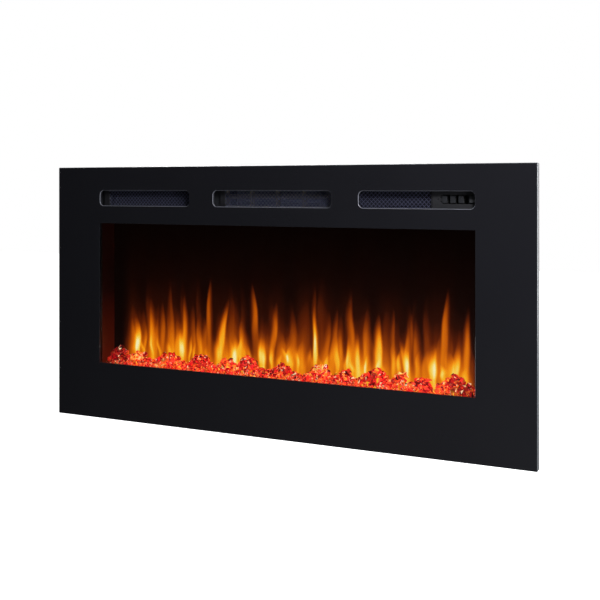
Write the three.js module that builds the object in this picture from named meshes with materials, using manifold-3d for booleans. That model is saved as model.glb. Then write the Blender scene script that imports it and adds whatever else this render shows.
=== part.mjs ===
// A shallow wall-mounted electric fireplace: a black glass front with three air slots and a
// viewing window, hung on a sheet-steel case that holds the firebox, the flame projector,
// the fan heater and the controls.
//
// Units are millimetres. X runs along the width, Y into the wall and Z up. The origin is the
// centre of the back cover's outer face, where the fireplace meets the wall, so everything
// lies at negative Y and the glass front is at Y = -DEPTH.

import * as THREE from "three";
import { mergeVertices } from "three/addons/utils/BufferGeometryUtils.js";
import Module from "manifold-3d";

// ---------------------------------------------------------------- driving dimensions

const WIDTH = 914;
const HEIGHT = 457;
const DEPTH = 100;
const GAP = 0.3; // between pieces that touch
const SHEET = 1.2; // steel sheet

// Glass front and its folded steel frame.
const GLASS = { thick: 5, bevel: 0.8, back: -DEPTH + 5 };
const FRAME = { margin: 0.3, front: GLASS.back + GAP, rim: 4.4 };
const FRAME_BACK = FRAME.front + FRAME.rim;

// Viewing window, seen through the glass.
const WINDOW = { halfWidth: 360.5, top: 126.8, bottom: -127.4 };
const WINDOW_CLEARANCE = 4;

// Air slots cut through the glass.
const SLOT = { z: 172.4, height: 27.2, radius: 8, sideWidth: 196.2, centerWidth: 228.6, sideX: 261.7 };

// Steel case behind the front.
const CASE = { halfWidth: 423, halfHeight: 198.5, back: -4.5 };
const FRONT_PLATE = { halfWidth: 438, halfHeight: 213.5, front: -89.8, back: -89.8 + SHEET };
const CASE_FRONT = FRONT_PLATE.back + GAP;
const COVER = { rimY: -3, plateauHalfWidth: 400, plateauHalfHeight: 175.5 };

// Firebox.
const LINER_X = 361.5; // inner face of each side liner
const SCREEN = { front: -54, thick: 3, halfWidth: 382, bottom: -150 };
const BAFFLE_Z = 134.3;
const TRAY = { bottom: -141, thick: 1.5, lip: -129 };
const CRYSTALS = { depth: 21, slope: 6, lump: 1.2, backLump: 1.4 };
const STENCIL = { halfWidth: 400, z: [-140, 110], y: [-42, -41], flames: 22 };
const LED_BOARD = { halfDepth: 6, thick: 1.6, diode: 2.5 };

// Flame projector.
const FLICKER = { y: -24, z: -160, radius: 13, rod: 2.5, x: [-394, 384], paddles: 16, pitch: 46 };
const PADDLE_TURN = 67; // degrees from each paddle to the next

// Fan heater.
const FAN = { y: -36, z: 166.4, radius: 20, left: -85, right: 70, shaft: 2.5, blades: 16 };
const BORE = FAN.shaft + GAP;
const HEATER = { y: -73, coilZs: [157, 176], coilRadius: 4.5 };
const DUCT = { halfWidth: 116, bottom: 139.5, top: 190.8, back: -61 };

// Controls, in the right-hand slot.
const KEYS = { z: 173.2, width: 8, height: 11, front: -93, travel: 1.5, xs: [307.8, 321.1, 334.6] };
const CONTROL = { left: 287.6, right: 373, front: -92.3, back: -90.1 };
const ROCKER = { x: 352.6, pivotY: -88.6, tilt: 9 };
const BOARD_FRONT = -80;
const CONTROL_OPENING = { x: [293, 361], z: [162, 186] };

// Grilles behind the slots: the opening that each one covers.
const GRILLES = {
  left: { x: [-344, -161], margin: [11, 10] },
  center: { x: [-94, 110], margin: [10, 10] },
  right: { x: [150, 285.4], margin: [10, 1.5] },
};
const GRILLE_Z = [157, 189];
const GRILLE_FRAME_Y = [-92.6, -91.2];
const GRILLE_MESH_Y = [-90.9, -90.1];

// Hooks that hang the front on the case, and the cover's screws.
const HOOK = { x: 400, bottoms: [102, -118], slotWidth: 6, slotHeight: 16, drop: 8 };
const SCREW = { x: 330, z: 190, shank: 2, head: 4.2, headHeight: 1.6 };
const GLAND = { y: -45, z: -165, radius: 8 };

// ---------------------------------------------------------------- materials

const material = (color, roughness, metalness = 0) =>
  new THREE.MeshStandardMaterial({ color, roughness, metalness });

const MATERIALS = {
  glass: material(0x101114, 0.06),
  blackSteel: material(0x17181a, 0.5, 0.3),
  caseSteel: material(0x1c1d1f, 0.55, 0.3),
  bareSteel: material(0x9a9c9f, 0.35, 0.9),
  liner: material(0x0b0808, 0.22),
  mesh: material(0x1a1b22, 0.45, 0.5),
  blackPlastic: material(0x1b1b1d, 0.5),
  keyPlastic: material(0x3a3a3e, 0.5),
  screen: material(0x1a0800, 0.4),
  clearPlastic: material(0xd8c8c0, 0.25),
  crystal: material(0xc81c10, 0.08),
  mirror: material(0xd5d7da, 0.08, 1),
  board: material(0x1d5a36, 0.5),
  mica: material(0xc8bfa6, 0.6),
  nichrome: material(0x8c8478, 0.4, 0.9),
  copper: material(0xb0643a, 0.4, 0.8),
  nylon: material(0xe6e2d6, 0.5),
  rubber: material(0x151515, 0.8),
};

// ---------------------------------------------------------------- geometry helpers

const wasm = await Module();
wasm.setup();

function toSolid(geometry) {
  const bare = geometry.clone();
  bare.deleteAttribute("normal");
  bare.deleteAttribute("uv");
  const merged = mergeVertices(bare, 1e-4);
  return new wasm.Manifold(
    new wasm.Mesh({
      numProp: 3,
      vertProperties: merged.attributes.position.array,
      triVerts: new Uint32Array(merged.index.array),
    }),
  );
}

function toGeometry(solid) {
  const mesh = solid.getMesh();
  const geometry = new THREE.BufferGeometry();
  geometry.setAttribute("position", new THREE.BufferAttribute(mesh.vertProperties, 3));
  geometry.setIndex(new THREE.BufferAttribute(mesh.triVerts, 1));
  geometry.computeVertexNormals();
  return geometry;
}

const join = (...geometries) =>
  toGeometry(geometries.map(toSolid).reduce((a, b) => a.add(b)));

const cut = (geometry, ...tools) =>
  toGeometry(tools.map(toSolid).reduce((a, b) => a.subtract(b), toSolid(geometry)));

// A block from its lowest to its highest value on each axis.
function block(x, y, z) {
  const geometry = new THREE.BoxGeometry(x[1] - x[0], y[1] - y[0], z[1] - z[0]);
  return geometry.translate((x[0] + x[1]) / 2, (y[0] + y[1]) / 2, (z[0] + z[1]) / 2);
}

// A rectangle with rounded corners, in X and Z.
function roundedRect(x, z, radius, path = new THREE.Shape()) {
  path.moveTo(x[0] + radius, z[0]);
  path.lineTo(x[1] - radius, z[0]);
  path.absarc(x[1] - radius, z[0] + radius, radius, -Math.PI / 2, 0);
  path.lineTo(x[1], z[1] - radius);
  path.absarc(x[1] - radius, z[1] - radius, radius, 0, Math.PI / 2);
  path.lineTo(x[0] + radius, z[1]);
  path.absarc(x[0] + radius, z[1] - radius, radius, Math.PI / 2, Math.PI);
  path.lineTo(x[0], z[0] + radius);
  path.absarc(x[0] + radius, z[0] + radius, radius, Math.PI, Math.PI * 1.5);
  return path;
}

const roundedHole = (x, z, radius) => roundedRect(x, z, radius, new THREE.Path());

function outline(points, path = new THREE.Shape()) {
  points.forEach(([a, b], i) => (i ? path.lineTo(a, b) : path.moveTo(a, b)));
  path.closePath();
  return path;
}

function roundHole(x, z, radius, sides = 12) {
  const points = Array.from({ length: sides }, (_, i) => {
    const angle = (i / sides) * Math.PI * 2;
    return [x + radius * Math.cos(angle), z + radius * Math.sin(angle)];
  });
  return outline(points, new THREE.Path());
}

// A sheet drawn in X and Z that runs from yFront back to yBack.
function sheet(shape, yFront, yBack, options = {}) {
  const geometry = new THREE.ExtrudeGeometry(shape, {
    depth: yBack - yFront,
    bevelEnabled: false,
    curveSegments: 1,
    ...options,
  });
  return geometry.rotateX(Math.PI / 2).translate(0, yBack, 0);
}

// A profile drawn in Y and Z that runs along X.
function alongX(shape, x, curveSegments = 8) {
  const geometry = new THREE.ExtrudeGeometry(shape, {
    depth: x[1] - x[0],
    bevelEnabled: false,
    curveSegments,
  });
  const turn = new THREE.Matrix4().makeBasis(
    new THREE.Vector3(0, 1, 0),
    new THREE.Vector3(0, 0, 1),
    new THREE.Vector3(1, 0, 0),
  );
  return geometry.applyMatrix4(turn).translate(x[0], 0, 0);
}

const rodX = (radius, x, sides = 24) =>
  new THREE.CylinderGeometry(radius, radius, x[1] - x[0], sides)
    .rotateZ(Math.PI / 2)
    .translate((x[0] + x[1]) / 2, 0, 0);

// A turned piece about X, from a profile of [radius, x] points that closes on itself.
const turnedX = (profile, sides = 20) =>
  new THREE.LatheGeometry(profile.map(([r, x]) => new THREE.Vector2(r, x)), sides)
    .rotateZ(-Math.PI / 2);

// A turned ring about X with an outer and an inner radius.
const ringX = (outer, inner, x, sides = 20) =>
  turnedX([[inner, x[0]], [outer, x[0]], [outer, x[1]], [inner, x[1]], [inner, x[0]]], sides);

const cylinderY = (radius, y, sides = 12) =>
  new THREE.CylinderGeometry(radius, radius, y[1] - y[0], sides)
    .translate(0, (y[0] + y[1]) / 2, 0);

function part(name, geometry, surface, position = [0, 0, 0]) {
  const mesh = new THREE.Mesh(geometry, surface);
  mesh.name = name;
  mesh.position.set(...position);
  return mesh;
}

const group = (...children) => new THREE.Group().add(...children);

// ---------------------------------------------------------------- glass front

const slotOutlines = [
  [-SLOT.sideX, SLOT.sideWidth],
  [0, SLOT.centerWidth],
  [SLOT.sideX, SLOT.sideWidth],
].map(([x, width]) => ({
  x: [x - width / 2, x + width / 2],
  z: [SLOT.z - SLOT.height / 2, SLOT.z + SLOT.height / 2],
}));

const grown = ([low, high], by) => [low - by, high + by];

// One toughened sheet with bevelled edges, outside and round each slot.
function frontGlass() {
  const b = GLASS.bevel;
  const shape = roundedRect(
    grown([-WIDTH / 2, WIDTH / 2], -b), grown([-HEIGHT / 2, HEIGHT / 2], -b), 1.5);
  shape.holes = slotOutlines.map(({ x, z }) =>
    roundedHole(grown(x, b), grown(z, b), SLOT.radius + b));
  return sheet(shape, -DEPTH + b, GLASS.back - b, {
    bevelEnabled: true,
    bevelThickness: b,
    bevelSize: b,
    bevelSegments: 1,
    curveSegments: 3,
  });
}

// The folded tray that the glass is bonded to, open at the window and the slots.
function frontFrame() {
  const x = [-WIDTH / 2 + FRAME.margin, WIDTH / 2 - FRAME.margin];
  const z = [-HEIGHT / 2 + FRAME.margin, HEIGHT / 2 - FRAME.margin];
  const face = roundedRect(x, z, 2);
  const slotClearance = 3;
  face.holes = slotOutlines.map((slot) =>
    roundedHole(grown(slot.x, slotClearance), grown(slot.z, slotClearance), SLOT.radius));
  face.holes.push(roundedHole(
    grown([-WINDOW.halfWidth, WINDOW.halfWidth], WINDOW_CLEARANCE),
    [WINDOW.bottom - WINDOW_CLEARANCE, WINDOW.top + WINDOW_CLEARANCE], 2));
  const rim = roundedRect(x, z, 2);
  rim.holes = [roundedHole(grown(x, -SHEET), grown(z, -SHEET), 0.8)];
  return join(
    sheet(face, FRAME.front, FRAME.front + SHEET),
    sheet(rim, FRAME.front + SHEET / 2, FRAME_BACK),
  );
}

// A hook on the frame's back: a foot, a neck through the case's slot and a tongue that drops behind it.
function hook() {
  const frameBack = FRAME.front + SHEET + GAP;
  const behind = FRONT_PLATE.back + 0.4;
  const neck = [GAP, GAP + 2];
  return join(
    block([-6, 6], [frameBack, frameBack + 1.5], [-10, 14]),
    block([-2.5, 2.5], [frameBack + 1, behind + 1.5], neck),
    block([-2.5, 2.5], [behind, behind + 1.5], [-HOOK.drop, neck[1]]),
  );
}

function frontPanel() {
  const panel = group(
    part("front_glass", frontGlass(), MATERIALS.glass),
    part("front_frame", frontFrame(), MATERIALS.blackSteel),
  );
  for (const [side, x] of [["left", -HOOK.x], ["right", HOOK.x]])
    for (const [level, z] of [["upper", HOOK.bottoms[0]], ["lower", HOOK.bottoms[1]]])
      panel.add(part(`hook_${level}_${side}`, hook(), MATERIALS.bareSteel, [x, 0, z]));
  return panel;
}

// ---------------------------------------------------------------- case

// The sheet that closes the case's front and overlaps the wall round the recess.
function frontPlate() {
  const shape = roundedRect(
    [-FRONT_PLATE.halfWidth, FRONT_PLATE.halfWidth],
    [-FRONT_PLATE.halfHeight, FRONT_PLATE.halfHeight], 4);
  shape.holes = Object.values(GRILLES).map(({ x }) => roundedHole(x, GRILLE_Z, 2));
  shape.holes.push(
    roundedHole(CONTROL_OPENING.x, CONTROL_OPENING.z, 2),
    roundedHole([-LINER_X - 1.5, LINER_X + 1.5], [-130, 129], 1),
  );
  for (const x of [-HOOK.x, HOOK.x])
    for (const z of HOOK.bottoms)
      shape.holes.push(roundedHole(
        grown([x, x], HOOK.slotWidth / 2), [z, z + HOOK.slotHeight], 0.5));
  return sheet(shape, FRONT_PLATE.front, FRONT_PLATE.back);
}

const CASE_Y = [CASE_FRONT, CASE.back];
const FRONT_FLANGE_Y = [CASE_FRONT, CASE_FRONT + SHEET];
const REAR_FLANGE_Y = [CASE.back - SHEET, CASE.back];

// The top wall, with a narrow front flange and a rear flange for the cover's screws.
function topPanel() {
  const outer = CASE.halfHeight;
  const inner = outer - SHEET;
  const panel = join(
    block([-CASE.halfWidth, CASE.halfWidth], CASE_Y, [inner, outer]),
    block([-409, 409], FRONT_FLANGE_Y, [inner - 6, outer]),
    block([-405, 405], REAR_FLANGE_Y, [inner - 14, outer]),
  );
  const holes = [-SCREW.x, SCREW.x].map((x) =>
    cylinderY(SCREW.shank + GAP, [CASE.back - 5, CASE.back + 5]).translate(x, 0, SCREW.z));
  return cut(panel, ...holes);
}

// The same piece turned half a turn about Y, for the opposite side.
const halfTurned = (geometry) => geometry.clone().rotateY(Math.PI);

// The right wall; its hole takes the cable gland.
function rightPanel() {
  const outer = CASE.halfWidth;
  const inner = outer - SHEET;
  const z = [-CASE.halfHeight + SHEET + GAP, CASE.halfHeight - SHEET - GAP];
  return join(
    block([inner, outer], CASE_Y, z),
    block([inner - 11, outer], FRONT_FLANGE_Y, [-182, 182]),
    block([inner - 13, outer], REAR_FLANGE_Y, [-182, 182]),
  );
}

function glandHole() {
  return rodX(GLAND.radius + GAP, [CASE.halfWidth - 5, CASE.halfWidth + 5], 28)
    .translate(0, GLAND.y, GLAND.z);
}

// A pressed cover: a screwed rim, and a plateau that lies on the wall, with two keyholes to
// hang it by and a row of cooling slots.
function backCover() {
  const rimX = [-CASE.halfWidth + 1, CASE.halfWidth - 1];
  const rimZ = [-CASE.halfHeight + 1, CASE.halfHeight - 1];
  const plateauX = [-COVER.plateauHalfWidth, COVER.plateauHalfWidth];
  const plateauZ = [-COVER.plateauHalfHeight, COVER.plateauHalfHeight];
  const rim = roundedRect(rimX, rimZ, 4);
  rim.holes = [roundedHole(grown(plateauX, -SHEET), grown(plateauZ, -SHEET), 8)];
  for (const x of [-SCREW.x, SCREW.x])
    for (const z of [-SCREW.z, SCREW.z])
      rim.holes.push(roundHole(x, z, SCREW.shank + GAP));
  const wall = roundedRect(plateauX, plateauZ, 9);
  wall.holes = [roundedHole(grown(plateauX, -SHEET), grown(plateauZ, -SHEET), 8)];
  const plateau = roundedRect(plateauX, plateauZ, 9);
  plateau.holes = [-250, 250].map((x) => keyhole(x, 110));
  const coolingPitch = 9;
  const coolingSlots = Array.from({ length: 12 }, (_, i) =>
    block(grown([220 + i * coolingPitch, 220 + i * coolingPitch], 1.6), [-5, 5], [-110, -76]));
  const rimFront = COVER.rimY - SHEET;
  const pressed = join(
    sheet(rim, rimFront, COVER.rimY),
    sheet(wall, rimFront, 0, { curveSegments: 3 }),
    sheet(plateau, -SHEET, 0, { curveSegments: 3 }),
  );
  return cut(pressed, ...coolingSlots);
}

// A round hole with a narrower slot above it.
function keyhole(x, z) {
  const radius = 5.5;
  const half = 2.75;
  const corner = Math.acos(half / radius);
  const path = new THREE.Path();
  path.moveTo(x - half, z + 18);
  path.absarc(x, z, radius, Math.PI - corner, Math.PI * 2 + corner);
  path.lineTo(x + half, z + 18);
  path.absarc(x, z + 18, half, 0, Math.PI);
  return path;
}

function screw() {
  const head = cylinderY(SCREW.head, [COVER.rimY + GAP, COVER.rimY + GAP + SCREW.headHeight - 0.4]);
  const cap = new THREE.CylinderGeometry(SCREW.head - 0.9, SCREW.head, 0.8, 12)
    .translate(0, COVER.rimY + GAP + SCREW.headHeight - 0.2, 0);
  const shank = cylinderY(SCREW.shank, [COVER.rimY - 8, COVER.rimY + GAP + 0.5]);
  const drive = [block([-2.2, 2.2], [COVER.rimY + 1, 0], [-0.45, 0.45]),
    block([-0.45, 0.45], [COVER.rimY + 1, 0], [-2.2, 2.2])];
  return cut(join(head, cap, shank), ...drive);
}

// A flanged bush through the right wall, with a bore for the supply cable.
function cableGland() {
  const inside = CASE.halfWidth - SHEET;
  const outside = CASE.halfWidth;
  const bore = 4;
  return turnedX([
    [bore, inside - 8], [GLAND.radius + 2.5, inside - 8], [GLAND.radius + 2.5, inside - GAP],
    [GLAND.radius, inside - GAP], [GLAND.radius, outside + GAP],
    [GLAND.radius + 3.5, outside + GAP], [GLAND.radius + 3.5, outside + 3],
    [GLAND.radius - 1.2, outside + 4], [GLAND.radius - 2.4, outside + 11],
    [bore, outside + 11], [bore, inside - 8],
  ], 24);
}

function caseParts() {
  const box = group(
    part("front_plate", frontPlate(), MATERIALS.caseSteel),
    part("top_panel", topPanel(), MATERIALS.caseSteel),
    part("bottom_panel", halfTurned(topPanel()), MATERIALS.caseSteel),
    part("left_panel", halfTurned(rightPanel()), MATERIALS.caseSteel),
    part("right_panel", cut(rightPanel(), glandHole()), MATERIALS.caseSteel),
    part("back_cover", backCover(), MATERIALS.caseSteel),
    part("cable_gland", cableGland(), MATERIALS.blackPlastic, [0, GLAND.y, GLAND.z]),
  );
  for (const [side, x] of [["left", -SCREW.x], ["right", SCREW.x]])
    for (const [level, z] of [["upper", SCREW.z], ["lower", -SCREW.z]])
      box.add(part(`cover_screw_${level}_${side}`, screw(), MATERIALS.bareSteel, [x, 0, z]));
  return box;
}

// ---------------------------------------------------------------- grilles

function grilleFrame({ x, margin }) {
  const outerX = [x[0] - margin[0], x[1] + margin[1]];
  const shape = roundedRect(outerX, grown(GRILLE_Z, 4), 1.2);
  shape.holes = [roundedHole(x, GRILLE_Z, 1.2)];
  return sheet(shape, ...GRILLE_FRAME_Y);
}

// The mesh is a thin perforated sheet, held between its frame and the front plate.
function grilleMesh({ x, margin }) {
  const outerX = [x[0] - margin[0] + 1, x[1] + margin[1] - 0.5];
  return block(outerX, GRILLE_MESH_Y, grown(GRILLE_Z, 3));
}

function grilles() {
  return group(...Object.entries(GRILLES).flatMap(([place, size]) => [
    part(`grille_frame_${place}`, grilleFrame(size), MATERIALS.blackPlastic),
    part(`grille_mesh_${place}`, grilleMesh(size), MATERIALS.mesh),
  ]));
}

// ---------------------------------------------------------------- controls

// Holes for the light guide's three pins, from the keys' centre line.
const PIN_PLACES = [[296.6, 0], [301.3, 3.2], [301.3, -3.2]];

function controlPlate() {
  const shape = roundedRect([CONTROL.left, CONTROL.right], [153, 193], 1.5);
  shape.holes = [roundedHole([303.2, 359.6], [KEYS.z - 7, KEYS.z + 7], 1)];
  for (const [x, z] of PIN_PLACES) shape.holes.push(roundHole(x, KEYS.z + z, 1.2));
  return sheet(shape, CONTROL.front, CONTROL.back);
}

function lightGuide() {
  const pins = PIN_PLACES.map(([x, z]) =>
    cylinderY(0.9, [CONTROL.front + 0.3, -89]).translate(x, 0, z));
  return join(block([293.9, 302.3], [-89.7, -88.5], [-6, 6]), ...pins);
}

// A key cap with a retaining flange and a stem that meets its switch.
function key() {
  const cap = roundedRect([-KEYS.width / 2, KEYS.width / 2], [-KEYS.height / 2, KEYS.height / 2], 0.8);
  return join(
    sheet(cap, KEYS.front, -88.7),
    block([-5.2, 5.2], [-89.7, -88.5], [-8.4, 8.4]),
    block([-2, 2], [-89, -85.3], [-2, 2]),
  );
}

function controlBoard() {
  const switches = KEYS.xs.map((x) =>
    block([x - 3, x + 3], [BOARD_FRONT - 3.5, BOARD_FRONT + 0.2], [KEYS.z - 3, KEYS.z + 3]));
  const receiver = block([293, 299], [BOARD_FRONT - 5, BOARD_FRONT + 0.2], [KEYS.z - 4, KEYS.z + 4]);
  return join(block([290, 344], [BOARD_FRONT, BOARD_FRONT + 1.6], [158, 190]), receiver, ...switches);
}

// A dished rocker on two trunnions, drawn about its pivot and tilted to its on position.
function rocker() {
  const half = 5.7;
  const profile = outline([
    [-3.9, -half], [-3.9, -half + 1.2], [-3.0, 0], [-3.9, half - 1.2], [-3.9, half],
    [1.6, half - 0.7], [3.4, 0], [1.6, -half + 0.7],
  ]);
  return join(alongX(profile, [-4.55, 4.55]), rodX(1.2, [-5.7, 5.7], 16))
    .rotateX(THREE.MathUtils.degToRad(-ROCKER.tilt));
}

function rockerHousing() {
  const z = [KEYS.z - 9, KEYS.z + 9];
  const pivots = rodX(1.5, [-6, 6], 20).translate(ROCKER.x, ROCKER.pivotY, KEYS.z);
  return cut(
    block([ROCKER.x - 6.6, ROCKER.x + 6.6], [-89.8, -70], z),
    block([ROCKER.x - 5, ROCKER.x + 5], [-90.5, -80], grown(z, -1.5)),
    pivots,
  );
}

function controls() {
  const board = group(
    part("control_plate", controlPlate(), MATERIALS.blackPlastic),
    part("control_board", controlBoard(), MATERIALS.board),
    part("light_guide", lightGuide(), MATERIALS.clearPlastic, [0, 0, KEYS.z]),
    part("rocker_housing", rockerHousing(), MATERIALS.blackPlastic),
    part("power_rocker", rocker(), MATERIALS.keyPlastic, [ROCKER.x, ROCKER.pivotY, KEYS.z]),
  );
  ["flame_button", "heat_button", "timer_button"].forEach((name, i) =>
    board.add(part(name, key(), MATERIALS.keyPlastic, [KEYS.xs[i], 0, KEYS.z])));
  return board;
}

// ---------------------------------------------------------------- firebox

function liner(side) {
  const x = side > 0 ? [LINER_X, LINER_X + SHEET] : [-LINER_X - SHEET, -LINER_X];
  return block(x, [CASE_FRONT, SCREEN.front - GAP], [TRAY.bottom, BAFFLE_Z - GAP]);
}

// The clear tray that the crystals lie in, with a lip behind the glass.
function emberTray() {
  const x = grown([-LINER_X, LINER_X], -GAP);
  const front = CASE_FRONT + 0.1;
  return join(
    block(x, [front, SCREEN.front - GAP], [TRAY.bottom, TRAY.bottom + TRAY.thick]),
    block(x, [front, front + TRAY.thick], [TRAY.bottom, TRAY.lip]),
  );
}

// The crystals as one closed heap with an uneven top.
function crystalBed() {
  const x = [-LINER_X + 1.5, LINER_X - 1.5];
  const y = [CASE_FRONT + TRAY.thick + 0.5, SCREEN.front - 0.8];
  const base = TRAY.bottom + TRAY.thick + GAP;
  const columns = 60;
  const rows = 2;
  const geometry = new THREE.BoxGeometry(x[1] - x[0], y[1] - y[0], 10, columns, rows, 1);
  geometry.translate((x[0] + x[1]) / 2, (y[0] + y[1]) / 2, base + 5);
  const place = geometry.attributes.position;
  for (let i = 0; i < place.count; i++) {
    if (place.getZ(i) < base + 5) continue;
    const across = place.getX(i);
    const back = (place.getY(i) - y[0]) / (y[1] - y[0]);
    const lumps = Math.sin(across * 0.11) + Math.sin(across * 0.043 + 2) + Math.sin(across * 0.31);
    place.setZ(i, base + CRYSTALS.depth + CRYSTALS.slope * back
      + lumps * (CRYSTALS.lump + CRYSTALS.backLump * back));
  }
  return toGeometry(toSolid(geometry));
}

// A flame-shaped hole that stands on its widest part and leans a little.
function flameHole(x, bottom, width, height, lean) {
  const path = new THREE.Path();
  path.moveTo(x, bottom);
  path.quadraticCurveTo(x + width * 0.62, bottom + height * 0.18, x + width * 0.3, bottom + height * 0.5);
  path.quadraticCurveTo(x + width * 0.1 + lean / 2, bottom + height * 0.75, x + lean, bottom + height);
  path.quadraticCurveTo(x - width * 0.3 + lean / 2, bottom + height * 0.7, x - width * 0.35, bottom + height * 0.45);
  path.quadraticCurveTo(x - width * 0.6, bottom + height * 0.15, x, bottom);
  return path;
}

// The dark sheet whose flame-shaped holes shape the light on the screen.
function flameStencil() {
  const shape = roundedRect([-STENCIL.halfWidth, STENCIL.halfWidth], STENCIL.z, 2);
  shape.holes = [];
  for (let i = 0; i < STENCIL.flames; i++) {
    const x = -357 + (714 * i) / (STENCIL.flames - 1);
    const height = 108 + 34 * Math.sin(i * 2.4) + 16 * Math.sin(i * 0.9);
    shape.holes.push(flameHole(x, -128, 26, height, 4 * Math.sin(i * 1.7)));
  }
  return sheet(shape, ...STENCIL.y, { curveSegments: 2 });
}

// A narrow board with a row of light-emitting diodes on its upper face.
function ledBoard(halfWidth, count) {
  const diodes = [];
  for (let i = 0; i < count; i++) {
    const x = -halfWidth + 12 + ((2 * halfWidth - 24) * i) / (count - 1);
    diodes.push(block(
      grown([x, x], LED_BOARD.diode), grown([0, 0], LED_BOARD.diode), [LED_BOARD.thick - 0.2, 3]));
  }
  const depth = grown([0, 0], LED_BOARD.halfDepth);
  return join(block([-halfWidth, halfWidth], depth, [0, LED_BOARD.thick]), ...diodes);
}

function firebox() {
  const baffle = block([-421.2, 421.2], [CASE_FRONT + SHEET + GAP, REAR_FLANGE_Y[0] - GAP],
    [BAFFLE_Z, BAFFLE_Z + SHEET]);
  const screen = block([-SCREEN.halfWidth, SCREEN.halfWidth],
    [SCREEN.front, SCREEN.front + SCREEN.thick], [SCREEN.bottom, BAFFLE_Z - GAP]);
  return group(
    part("firebox_liner_left", liner(-1), MATERIALS.liner),
    part("firebox_liner_right", liner(1), MATERIALS.liner),
    part("top_baffle", baffle, MATERIALS.caseSteel),
    part("ember_tray", emberTray(), MATERIALS.clearPlastic),
    part("crystal_bed", crystalBed(), MATERIALS.crystal),
    part("flame_screen", screen, MATERIALS.screen),
    part("flame_stencil", flameStencil(), MATERIALS.blackSteel),
    part("ember_led_board", ledBoard(350, 15), MATERIALS.board, [0, -69, -152]),
    part("flame_led_board", ledBoard(365, 20), MATERIALS.board, [0, -34, -190]),
  );
}

// ---------------------------------------------------------------- flame projector

// The rod carries mirrored paddles, each turned from the last, that throw moving light.
function flickerRod() {
  const pieces = [rodX(FLICKER.rod, FLICKER.x, 16)];
  for (let i = 0; i < FLICKER.paddles; i++) {
    const x = -345 + i * FLICKER.pitch;
    const paddle = block([x - 18, x + 18], [-0.4, 0.4], [-FLICKER.radius, FLICKER.radius]);
    pieces.push(paddle.rotateX(THREE.MathUtils.degToRad(PADDLE_TURN) * i));
  }
  return join(...pieces);
}

function flickerMotor() {
  const body = ringX(17, FLICKER.rod + GAP, [388, 402], 32);
  const ears = cut(block([388, 390], [-21, 21], [-5, 5]), rodX(10, [380, 395]));
  return join(body, ears);
}

// An upright bracket that stands on the case's floor and holds the rod's end.
function flickerBracket(x, hole) {
  const floor = -CASE.halfHeight + SHEET + GAP - FLICKER.z;
  const upright = block([x, x + 1.5], [-11, 11], [floor, 12]);
  const foot = block([x - 12, x + 1.5], [-11, 11], [floor, floor + 1.5]);
  return cut(join(upright, foot), rodX(hole, [x - 5, x + 5], 24));
}

function projector() {
  const set = group(
    part("flicker_rod", flickerRod(), MATERIALS.mirror),
    part("flicker_coupler", ringX(5, FLICKER.rod + GAP, [367, 380]), MATERIALS.rubber),
    part("flicker_motor", flickerMotor(), MATERIALS.bareSteel),
    part("flicker_motor_bracket", flickerBracket(385, 4), MATERIALS.bareSteel),
    part("flicker_bearing", ringX(7, FLICKER.rod + GAP, [-389.7, -384]), MATERIALS.nylon),
    part("flicker_bearing_bracket", flickerBracket(-391.5, 4), MATERIALS.bareSteel),
  );
  set.position.set(0, FLICKER.y, FLICKER.z);
  return set;
}

// ---------------------------------------------------------------- fan heater

// A ring of points at a radius, between two angles in degrees, for a profile in Y and Z.
function arcPoints(radius, from, to, steps) {
  return Array.from({ length: steps + 1 }, (_, i) => {
    const angle = THREE.MathUtils.degToRad(from + ((to - from) * i) / steps);
    return [radius * Math.cos(angle), radius * Math.sin(angle)];
  });
}

// A cross-flow wheel: curved blades between end rings, with a disc at each end and in the middle.
function fanWheel() {
  const blade = outline([[19.6, -1.6], [17.3, 0.5], [14.6, 1.2], [17.1, -0.4]]);
  const pieces = [];
  for (let i = 0; i < FAN.blades; i++)
    pieces.push(alongX(blade, [FAN.left + 0.5, FAN.right - 0.5]).rotateX((i / FAN.blades) * Math.PI * 2));
  for (const x of [FAN.left, -8, FAN.right - 1.5])
    pieces.push(ringX(FAN.radius, BORE, [x, x + 1.5], 32));
  return join(...pieces);
}

// The scroll round the wheel, open above to draw air in and in front to blow it out. Its left
// end holds the rubber bearing and its right end is the motor's plate.
function fanHousing() {
  const from = -150;
  const to = 62;
  const inner = 22.2;
  const outer = inner + SHEET;
  const wall = outline([...arcPoints(outer, from, to, 20), ...arcPoints(inner, to, from, 20)]);
  const lip = block([-89.5, 74.5], [-24.5, -18.6], [-12.6, -11.1]);
  const ends = [[-90.2, -89], [74, 75.2]].map((x) => block(x, [-24.5, 27], [-29.5, 29.5]));
  return cut(join(alongX(wall, [-89.5, 74.5]), lip, ...ends), rodX(7.6, [-95, 80]));
}

// The laminated stack: a round bore for the rotor and a leg at the back for the winding.
function motorCore() {
  const shape = outline([[-18, -19], [28, -19], [28, 19], [-18, 19]]);
  shape.holes = [
    new THREE.Path().absarc(0, 0, 12.5, 0, Math.PI * 2),
    outline([[16, -15], [22, -15], [22, 15], [16, 15]], new THREE.Path()),
  ];
  return alongX(shape, [82, 98], 12);
}

function motorWinding() {
  return cut(
    block([77, 103], [18, 31], [-13, 13]),
    block([81.7, 98.3], [22 - GAP, 28 + GAP], [-20, 20]),
  );
}

// A bearing strap across the motor's outer face.
function motorBearing() {
  return join(
    ringX(6, BORE, [99, 106]),
    cut(block([99, 100.5], [-16, 12], [-4, 4]), rodX(5, [95, 105])),
  );
}

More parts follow.
